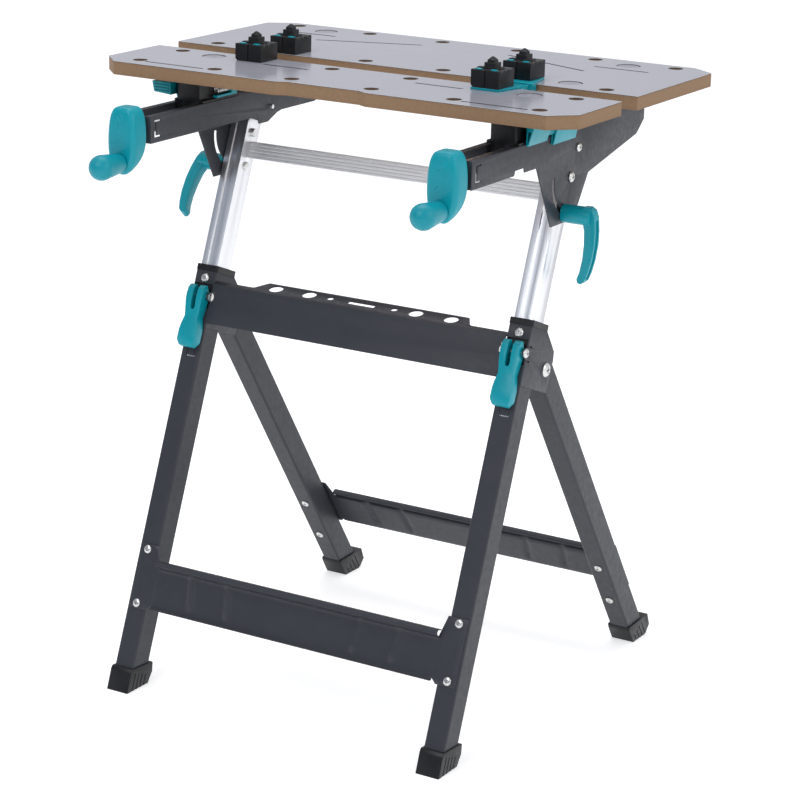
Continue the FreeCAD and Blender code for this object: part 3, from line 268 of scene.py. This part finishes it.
def powder_coat():
    """Dark grey textured coat, a little lighter and smoother on its edges."""
    coat = Finish("frame_paint", (0.033, 0.036, 0.045), 0.42, gloss=0.32)
    cloud = coat.noise(14, 3)
    body = coat.mix(cloud, (0.029, 0.032, 0.041), (0.038, 0.041, 0.050))
    worn = coat.maths("MULTIPLY", coat.edges(0.0012), coat.noise(260, 4))
    coat.set_colour(coat.mix(worn, body, (0.085, 0.09, 0.105)))
    coat.set_roughness(coat.remap(coat.noise(120, 3), 0.3, 0.7, 0.36, 0.5))
    coat.relief(coat.noise(1500, 2), 0.00012, 0.35, 0.0006)
    return coat.material


def moulded(name, colour, roughness, grain=0.0001, gloss=0.5):
    """Moulded plastic: fine grain, slightly uneven gloss and edges painted paler as a highlight."""
    plastic = Finish(name, colour, roughness, gloss=gloss)
    pale = tuple(min(1.0, c * 1.3 + 0.008) for c in colour)
    deep = tuple(c * 0.9 for c in colour)
    cloud = plastic.mix(plastic.noise(30, 3), deep, colour)
    # painted highlight: every edge is mixed part way towards a paler copy of the plastic's colour
    plastic.set_colour(plastic.mix(plastic.maths("MULTIPLY", plastic.edges(0.001), 0.6), cloud, pale))
    plastic.set_roughness(plastic.remap(plastic.noise(90, 4), 0.3, 0.7, roughness - 0.06, roughness + 0.08))
    plastic.relief(plastic.noise(2200, 2), grain, 0.3, 0.0009)
    return plastic.material


def drawn_aluminium(name, lean, stretch, metallic):
    """Mill-finish aluminium with fine draw lines along its length."""
    metal = Finish(name, (0.80, 0.81, 0.83), 0.3, metallic)
    lines = metal.noise(1, 4, metal.along(lean, stretch))
    metal.set_colour(metal.mix(lines, (0.74, 0.75, 0.78), (0.88, 0.89, 0.91)))
    metal.set_roughness(metal.remap(lines, 0.25, 0.75, 0.28, 0.4))
    metal.relief(lines, 0.00002, 0.25, 0.0005)
    return metal.material


def zinc_plate():
    """Zinc-plated steel with a faint mottled bloom."""
    metal = Finish("zinc_steel", (0.66, 0.66, 0.65), 0.3, 1.0)
    bloom = metal.noise(500, 4)
    metal.set_colour(metal.mix(bloom, (0.55, 0.55, 0.54), (0.80, 0.80, 0.79)))
    metal.set_roughness(metal.remap(bloom, 0.3, 0.7, 0.2, 0.42))
    metal.relief(metal.noise(1800, 2), 0.00005, 0.3, 0.0004)
    return metal.material


BOARD_TOP = 0.837
BOARD_BOTTOM = 0.819


def laminated_board():
    """Brown fibreboard under a pale glossy laminate, with a dark line where the two meet, a painted
    highlight along the top of its edge and painted shade inside holes and recesses.
    """
    board = Finish("table_board", (0.6, 0.6, 0.66), 0.16)
    height = board.parts(board.place)["Z"]
    upward = board.parts(board.facing)["Z"]
    on_top = board.maths("GREATER_THAN", upward, 0.9)
    haze = board.noise(5, 3)
    laminate = board.mix(haze, (0.30, 0.305, 0.35), (0.34, 0.345, 0.39))
    fibres = board.noise(1, 5, board.along(0, (700, 700, 1500)))
    flecks = board.noise(420, 5)
    core = board.mix(fibres, (0.175, 0.10, 0.051), (0.31, 0.192, 0.103))
    core = board.mix(board.remap(flecks, 0.56, 0.7, 0.0, 0.3), core, (0.14, 0.09, 0.05))
    middle = (BOARD_TOP + BOARD_BOTTOM) / 2
    depth = board.maths("ABSOLUTE", board.maths("SUBTRACT", height, middle))
    pressed = board.remap(depth, 0.004, 0.009, 0.0, 0.45)
    core = board.mix(pressed, core, (0.20, 0.115, 0.062))
    seam = board.maths("GREATER_THAN", height, BOARD_TOP - 0.0012)
    # painted highlight: the top half millimetre of the board's side faces is coloured near white, brighter
    # than the laminate itself
    painted_highlight_rim = board.maths("GREATER_THAN", height, BOARD_TOP - 0.0005)
    core = board.mix(seam, core, (0.07, 0.05, 0.045))
    core = board.mix(painted_highlight_rim, core, (0.55, 0.55, 0.58))
    # painted shade: where the occlusion node finds the fibreboard hemmed in, as inside holes, it is coloured
    # almost black-brown
    hole_openness_for_painted_shade = board.add("ShaderNodeAmbientOcclusion", {"samples": 6}, Distance=0.03).outputs["AO"]
    core = board.mix(board.remap(hole_openness_for_painted_shade, 0.25, 0.7, 0.0, 1.0), (0.06, 0.035, 0.02), core)
    board.set_colour(board.mix(on_top, core, laminate))
    gloss = board.remap(board.noise(60, 3), 0.3, 0.7, 0.12, 0.2)
    matte = board.remap(flecks, 0.3, 0.7, 0.62, 0.8)
    rough = board.add("ShaderNodeMix", {"data_type": "FLOAT"})
    board.feed(rough.inputs["Factor"], on_top)
    board.feed(rough.inputs[2], matte)
    board.feed(rough.inputs[3], gloss)
    board.set_roughness(rough.outputs[0])
    roughened = board.maths("MULTIPLY", fibres, board.maths("SUBTRACT", 1.0, on_top))
    board.relief(roughened, 0.0002, 0.5, 0.0004)
    return board.material


def ink():
    """Dark print on the laminate."""
    print_ink = Finish("printed_ink", (0.012, 0.013, 0.02), 0.4, gloss=0.2)
    print_ink.speckle(300, 0.3)
    return print_ink.material


FINISHES = {
    "frame_paint": powder_coat(),
    "black_plastic": moulded("black_plastic", (0.008, 0.0085, 0.010), 0.38, 0.00015, 0.32),
    "teal_plastic": moulded("teal_plastic", (0.0, 0.295, 0.365), 0.33, 0.00008, 0.32),
    "grip_plastic": moulded("grip_plastic", (0.0, 0.27, 0.34), 0.36, 0.0001, 0.32),
    "tube_aluminium": drawn_aluminium("tube_aluminium", FRONT_LEAN, (900, 900, 9), 1.0),
    "bar_aluminium": drawn_aluminium("bar_aluminium", FRONT_LEAN, (9, 900, 900), 0.55),
    "zinc_steel": zinc_plate(),
    "table_board": laminated_board(),
    "cap_plastic": moulded("cap_plastic", (0.28, 0.285, 0.33), 0.3, 0.00005),
    "ink": ink(),
}


# ---------------------------------------------------------------- shapes


def new_piece(name, builder, body, material, replaced=()):
    """Turn a bmesh into a piece that rides on a body and takes a slot's finish."""
    mesh = bpy.data.meshes.new(name)
    bmesh.ops.recalc_face_normals(builder, faces=builder.faces)
    builder.to_mesh(mesh)
    builder.free()
    piece = bpy.data.objects.new(name, mesh)
    bpy.context.scene.collection.objects.link(piece)
    mesh.materials.append(material)
    smooth_shade(mesh)
    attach(piece, body)
    if replaced:
        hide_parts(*replaced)
    return piece


def smooth_shade(mesh, angle=32):
    """Smooth shading everywhere but on edges sharper than angle, in degrees."""
    mesh.polygons.foreach_set("use_smooth", [True] * len(mesh.polygons))
    mesh.set_sharp_from_angle(angle=math.radians(angle))


def skin(builder, rings):
    """Join equal rings of points with quads and close the first and last ring."""
    loops = [[builder.verts.new(point) for point in ring] for ring in rings]
    count = len(loops[0])
    for here, there in zip(loops, loops[1:]):
        for i in range(count):
            j = (i + 1) % count
            builder.faces.new((here[i], here[j], there[j], there[i]))
    builder.faces.new(reversed(loops[0]))
    builder.faces.new(loops[-1])


def make_helix(name, start, end, radius, wire, turns, body, replaced=()):
    """A coil spring from start to end: a bevelled curve wound about the line between them."""
    start, end = Vector(start), Vector(end)
    axis = (end - start).normalized()
    side = axis.orthogonal().normalized()
    up = axis.cross(side)
    data = bpy.data.curves.new(name, "CURVE")
    data.dimensions = "3D"
    data.bevel_depth = wire
    data.bevel_resolution = 3
    spline = data.splines.new("POLY")
    per_turn = 24
    count = int(turns * per_turn) + 1
    spline.points.add(count - 1)
    for i in range(count):
        share = i / (count - 1)
        angle = 2 * math.pi * turns * share
        point = start + (end - start) * share + (side * math.cos(angle) + up * math.sin(angle)) * radius
        spline.points[i].co = (*point, 1)
    piece = bpy.data.objects.new(name, data)
    bpy.context.scene.collection.objects.link(piece)
    data.materials.append(FINISHES["zinc_steel"])
    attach(piece, body)
    if replaced:
        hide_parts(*replaced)


# ---------------------------------------------------------------- pieces

# the guide lines in millimetres; both ends of each: out from the middle, and back from the jaw's front edge
INK_THICKNESS = 0.06
LINE_WIDTH = 4.5
FRONT_LINES = (((192, 21), (284, 21)), ((81, 99.5), (150, 99.5)))
REAR_LINES = (((203, 172), (282, 172)), ((68, 182), (208, 130)))


def printed_line(builder, start, end, width, level):
    """A thin flat strip of ink lying on the table from start to end."""
    start, end = Vector((*start, level)), Vector((*end, level))
    side = (end - start).normalized().cross(Vector((0, 0, 1))) * width / 2
    thick = Vector((0, 0, INK_THICKNESS * MM))
    corners = [start + side, start - side, end - side, end + side]
    low = [builder.verts.new(point) for point in corners]
    high = [builder.verts.new(point + thick) for point in corners]
    builder.faces.new(high)
    builder.faces.new(reversed(low))
    for i in range(4):
        j = (i + 1) % 4
        builder.faces.new((low[i], low[j], high[j], high[i]))


def make_guide_lines(name, jaw, lines, body):
    """The plain lines printed on a jaw, the same on its left and right halves."""
    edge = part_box(jaw)[0].y
    builder = bmesh.new()
    for _, side in SIDES:
        for line in lines:
            start, end = ((x * MM * side, edge + y * MM) for x, y in line)
            printed_line(builder, start, end, LINE_WIDTH * MM, BOARD_TOP)
    new_piece(name, builder, body, FINISHES["ink"])


# radius of the wire in millimetres
SPRING_WIRE = 0.7
SPRING_TURNS = 8.5


def make_springs():
    """The two coil springs in front of the carriers."""
    low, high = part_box("release_springs")
    middle_z = (low.z + high.z) / 2
    radius = (high.z - low.z) / 2
    wire = SPRING_WIRE * MM
    for word, side in SIDES:
        x = (high.x - radius) * side
        start, end = (x, low.y, middle_z), (x, high.y, middle_z)
        replaced = ["release_springs"] if side > 0 else []
        name = "release_spring_" + word
        make_helix(name, start, end, radius - wire, wire, SPRING_TURNS, "clamping_jaw", replaced)


# where the two leaning frames of the legs start on the floor, in millimetres
FRONT_START = -255.7
REAR_START = 304.15


def on_front_legs(x, across, along):
    """A point given across and along the front legs, in metres in the bench's frame."""
    y = FRONT_START + across * math.cos(FRONT_LEAN) + along * math.sin(FRONT_LEAN)
    z = along * math.cos(FRONT_LEAN) - across * math.sin(FRONT_LEAN)
    return Vector((x, y, z)) * MM


def on_rear_legs(x, across, along):
    """The same for the rear legs, which lean the other way."""
    y = REAR_START + across * math.cos(REAR_LEAN) - along * math.sin(REAR_LEAN)
    z = along * math.cos(REAR_LEAN) + across * math.sin(REAR_LEAN)
    return Vector((x, y, z)) * MM


def grid(builder, columns):
    """Join columns of points, all the same length, with quads."""
    rows = [[builder.verts.new(point) for point in column] for column in columns]
    for here, there in zip(rows, rows[1:]):
        for i in range(len(here) - 1):
            builder.faces.new((here[i], here[i + 1], there[i + 1], there[i]))


# the pressed crossbars, in millimetres: SPAN is from the lowest to the highest place along the legs
WEB_SPAN = (111, 176)
LUG_SPAN = (107, 195)
REAR_DROP = 9
SHEET = 1.5
WEB_FACE = 19.5
WEB_HALF = 219
LUG_HALF = 254.5
RIBS = (160, 101)
RIB_SLANT = 9
RIB_HEIGHT = 3.0
RIB_WIDTH = 4.4


def crossbar_profile(low, high):
    """The outer side of the pressed bar as (outward, along), from the bottom lip over the rolled top."""
    points = [(WEB_FACE + 5, low), (WEB_FACE + 1.6, low), (WEB_FACE + 0.4, low + 0.5), (WEB_FACE, low + 1.8)]
    face_end = high - 13
    steps = 14
    points += [(WEB_FACE, low + 1.8 + (face_end - low - 1.8) * i / steps) for i in range(1, steps + 1)]
    points += [(WEB_FACE + 0.8, high - 11.4), (WEB_FACE + 3.5, high - 10), (WEB_FACE + 7, high - 9)]
    points += [(WEB_FACE + 9, high - 7), (WEB_FACE + 9.5, high - 4.6), (WEB_FACE + 8.6, high - 2)]
    points += [(WEB_FACE + 6.4, high - 0.4), (WEB_FACE + 4, high), (WEB_FACE - SHEET, high)]
    return points


def rib_height(x, along, low, high):
    """How far the pressed ribs stand out at a place on the web."""
    share = (along - low) / (high - low)
    fade = min(1.0, max(0.0, (share - 0.12) / 0.12)) * min(1.0, max(0.0, (1.02 - share) / 0.2))
    height = 0.0
    for spot in RIBS:
        centre = spot + RIB_SLANT * (share - 0.5)
        height += RIB_HEIGHT * math.exp(-(((abs(x) - centre) / RIB_WIDTH) ** 2))
    return height * fade


def make_crossbar(name, spot, outward, drop, body, replaced):
    """A pressed sheet crossbar with soft slanting ribs, and flat lugs at its ends."""
    low, high = (edge - drop for edge in WEB_SPAN)
    lug_low, lug_high = (edge - drop for edge in LUG_SPAN)
    builder = bmesh.new()
    profile = crossbar_profile(low, high)
    columns = []
    for i in range(-WEB_HALF, WEB_HALF + 1, 2):
        column = []
        for out, along in profile:
            on_face = out < WEB_FACE + 2 and low + 2 < along < high - 10
            raised = rib_height(i, along, low, high) if on_face else 0.0
            column.append(spot(i, (out + raised) * outward, along))
        columns.append(column)
    grid(builder, columns)
    for _, side in SIDES:
        lug = []
        for share in (0, 0.25, 0.5, 0.75, 1):
            x = WEB_HALF - 3 + (LUG_HALF - WEB_HALF + 3) * share
            wide = min(1.0, share / 0.25)
            start = low + 6 + (lug_low - low - 6) * wide
            end = high - 14 + (lug_high - high + 14) * wide
            steps = 10
            row = [start + (end - start) * i / steps for i in range(steps + 1)]
            lug.append([spot(x * side, (WEB_FACE - 0.05) * outward, along) for along in row])
        grid(builder, lug)
    piece = new_piece(name, builder, body, FINISHES["frame_paint"], (replaced,))
    facing = sum((f.normal * f.area for f in piece.data.polygons), Vector())
    outwards = spot(0, outward, 0) - spot(0, 0, 0)
    thick = piece.modifiers.new("sheet", "SOLIDIFY")
    thick.thickness = SHEET * MM
    thick.offset = -1.0 if facing.dot(outwards) > 0 else 1.0
    rounded = piece.modifiers.new("edges", "BEVEL")
    rounded.width = 0.3 * MM
    rounded.segments = 2
    rounded.limit_method = "ANGLE"
    rounded.angle_limit = math.radians(40)


def rounded_ring(middle, z, half, front, back, radius, back_radius):
    """A level rounded rectangle round x = middle, in millimetres, wound one way."""
    ring = []
    corners = (
        (middle + half - radius, front + radius, radius, -90),
        (middle + half - back_radius, back - back_radius, back_radius, 0),
        (middle - half + back_radius, back - back_radius, back_radius, 90),
        (middle - half + radius, front + radius, radius, 180),
    )
    for x, y, bend, start in corners:
        for step in range(6):
            angle = math.radians(start + step * 18)
            ring.append(Vector((x + bend * math.cos(angle), y + bend * math.sin(angle), z)) * MM)
    return ring


def hoop(builder, centre, radius, wire):
    """A fine raised ring that faces forwards."""
    around, across = 40, 8
    loops = []
    for i in range(around):
        turn = 2 * math.pi * i / around
        outward = Vector((math.cos(turn), 0, math.sin(turn)))
        loop = []
        for k in range(across):
            angle = 2 * math.pi * k / across
            offset = outward * (radius + wire * math.cos(angle)) + Vector((0, wire * math.sin(angle), 0))
            loop.append(builder.verts.new((centre + offset) * MM))
        loops.append(loop)
    for i in range(around):
        here, there = loops[i], loops[(i + 1) % around]
        for k in range(across):
            j = (k + 1) % across
            builder.faces.new((here[k], here[j], there[j], there[k]))


def rod(builder, centre, radius, start, end):
    """A round bar along Y with chamfered ends."""
    rings = []
    for y, size in ((start, radius - 0.5), (start + 0.5, radius), (end - 0.5, radius), (end, radius - 0.5)):
        ring = []
        for i in range(32):
            angle = 2 * math.pi * i / 32
            x, z = centre.x + size * math.cos(angle), centre.z + size * math.sin(angle)
            ring.append(Vector((x, y, z)) * MM)
        rings.append(ring)
    skin(builder, rings)


# height above the spindle, half width, front, back and corner radius of the crank, level by level
CRANK_LEVELS = (
    (24.0, 8, 12, 29, 4),
    (23.7, 10.5, 9, 31, 5),
    (22.0, 13.5, 7, 32, 6),
    (18.5, 16.5, 5.6, 32.6, 7),
    (11.0, 19.5, 4.4, 33, 7.5),
    (0.0, 21, 3.6, 33, 8),
    (-12.0, 21.8, 3.1, 33, 8),
    (-24.0, 22, 3.0, 32, 8),
    (-34.0, 21.4, 3.0, 29.5, 8),
    (-43.0, 19.6, 3.0, 25.5, 7.5),
    (-51.0, 16, 3.4, 20.5, 6),
    (-57.5, 11.5, 4.6, 16.5, 4.6),
    (-61.6, 7, 6.2, 13.5, 3.2),
    (-63.2, 3.4, 8.4, 11.6, 1.5),
)
# height above the spindle, radius and front of each fine ring
CRANK_RINGS = ((11.0, 3.5, 4.6), (-2.0, 5.4, 3.5), (-24.0, 7.4, 3.0))
CRANK_TOP = 24
CRANK_DEPTH = 37.4
KNOB_DROP = 47
HUB_RADIUS = 14
PIN_RADIUS = 2.5


def make_crank(word):
    """A moulded crank: full and rounded at the spindle, drawn forwards and narrower at the grip."""
    node = "crank_" + word
    low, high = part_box(node)
    middle = (low.x + high.x) / 2 / MM
    spindle = high.z / MM - CRANK_TOP
    datum = high.y / MM - CRANK_DEPTH
    builder = bmesh.new()
    rings = []
    for level, half, front, back, radius in CRANK_LEVELS:
        ends = (datum + front, datum + back)
        soft = min(3.0, half - 0.3, (back - front) / 2 - 0.2)
        rings.append(rounded_ring(middle, spindle + level, half, *ends, radius, soft))
    skin(builder, rings)
    for level, radius, front in CRANK_RINGS:
        hoop(builder, Vector((middle, datum + front + 0.1, spindle + level)), radius, 0.5)
    hub = Vector((middle, 0, spindle))
    rod(builder, hub, HUB_RADIUS, datum + 30, high.y / MM)
    rod(builder, hub - Vector((0, 0, KNOB_DROP)), PIN_RADIUS, low.y / MM, datum + 8)
    body, teal = "crank_assembly_" + word, FINISHES["teal_plastic"]
    piece = new_piece("moulded_crank_" + word, builder, body, teal, (node,))
    smooth_shade(piece.data, 50)
    round_off = piece.modifiers.new("rounding", "SUBSURF")
    round_off.levels = 1
    round_off.render_levels = 1


# ---------------------------------------------------------------- the whole bench

# nodes whose finish is not simply that of their slot
NODE_FINISHES = {
    "inner_tube_left": "tube_aluminium",
    "inner_tube_right": "tube_aluminium",
    "alloy_crossbar": "bar_aluminium",
}

# the first words of a node's name, and how wide its edges are rounded, in millimetres
EDGE_WIDTHS = (
    ("crank_knob", 0.6),
    ("tilt_lever", 1.5),
    ("cam_lever", 1.6),
    ("release_lever", 0.5),
    ("dog_inserts", 0.2),
    ("dog", 0.7),
    ("clamp_plate", 0.8),
    ("front_foot", 0.8),
    ("rear_foot", 0.8),
    ("front_jaw_bolts", 0.2),
    ("rear_jaw_bolts", 0.2),
    ("carrier", 0.5),
    ("tilt_spacers", 0.4),
    ("arm_cross_bolts", 0.3),
    ("arm", 0.35),
    ("hinge_bracket", 0.4),
    ("tool_tray", 0.4),
    ("inner_tube", 0.4),
)
WELD_REACH = 0.00001
FLAT_ANGLE = math.radians(0.5)
SHARP_ANGLE = math.radians(32)


def soften(node, width):
    """Round a CAD node's edges: flat faces are joined up first, then each edge gets a fine bevel."""
    weld = node.modifiers.new("weld", "WELD")
    weld.merge_threshold = WELD_REACH
    flat = node.modifiers.new("flat", "DECIMATE")
    flat.decimate_type = "DISSOLVE"
    flat.angle_limit = FLAT_ANGLE
    bevel = node.modifiers.new("edges", "BEVEL")
    bevel.width = width
    bevel.segments = 3
    bevel.limit_method = "ANGLE"
    bevel.angle_limit = SHARP_ANGLE
    bevel.harden_normals = True


def finish_cad_nodes():
    """Give every CAD node its finish and its rounded edges."""
    slots = {part["node"]: part["material_slot"] for part in frame["record"]["subparts"]}
    for name, node in frame["nodes"].items():
        finish = FINISHES[NODE_FINISHES.get(name, slots[name])]
        node.data.materials.clear()
        node.data.materials.append(finish)
        smooth_shade(node.data)
        width = next((size for start, size in EDGE_WIDTHS if name.startswith(start)), None)
        if width:
            soften(node, width * MM)


make_camera()
make_studio()
finish_cad_nodes()
make_guide_lines("front_guide_lines", "front_jaw", FRONT_LINES, "clamping_jaw")
make_guide_lines("rear_guide_lines", "rear_jaw", REAR_LINES, "head")
make_springs()
make_crossbar("pressed_crossbar_front", on_front_legs, -1, 0, "front_frame", "lower_crossbar_front")
make_crossbar("pressed_crossbar_rear", on_rear_legs, 1, REAR_DROP, "rear_frame", "lower_crossbar_rear")
for word, _ in SIDES:
    make_crank(word)
